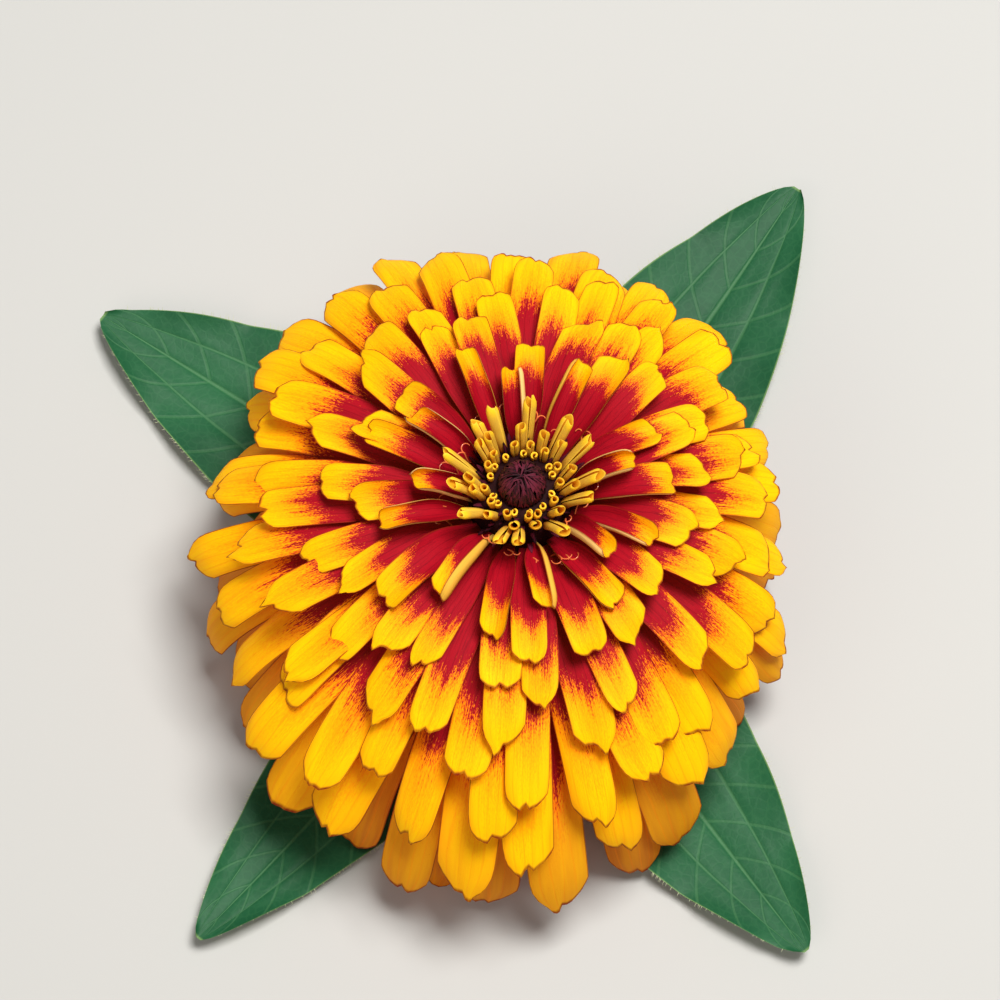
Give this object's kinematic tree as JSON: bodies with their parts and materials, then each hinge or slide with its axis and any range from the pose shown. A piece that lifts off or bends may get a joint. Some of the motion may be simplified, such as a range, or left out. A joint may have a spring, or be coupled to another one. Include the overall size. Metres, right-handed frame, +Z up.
{
  "type": "zinnia flower",
  "caption": "Fully double zinnia bloom with scarlet and yellow petals, a dark disc, a cup of bracts, a short cut stem and its top leaves, lying face up.",
  "frame": {"origin": "middle of the ground that the flower covers, on the surface that it rests on", "axes": "+Z up along the flower's axis, out of its face; -Y towards the side with the longer drooping petals"},
  "size_m": [0.112, 0.1257, 0.0542],
  "materials": {
    "petals": "satin petal, scarlet at the base and golden yellow at the end",
    "young_rays": "satin petal, yellow to orange",
    "disc": "matt dark maroon chaff",
    "bracts": "matt green bract with a dark edge",
    "stem": "ribbed hairy green stem",
    "leaves": "matt green leaf with paler veins"
  },
  "bodies": {
    "root": {"ray_florets": "petals", "young_rays": "young_rays", "disc_boss": "disc", "involucre": "bracts", "stem": "stem", "leaf_upper_back": "leaves", "leaf_upper_front": "leaves", "leaf_lower_back": "leaves", "leaf_lower_front": "leaves"}
  },
  "joints": []
}
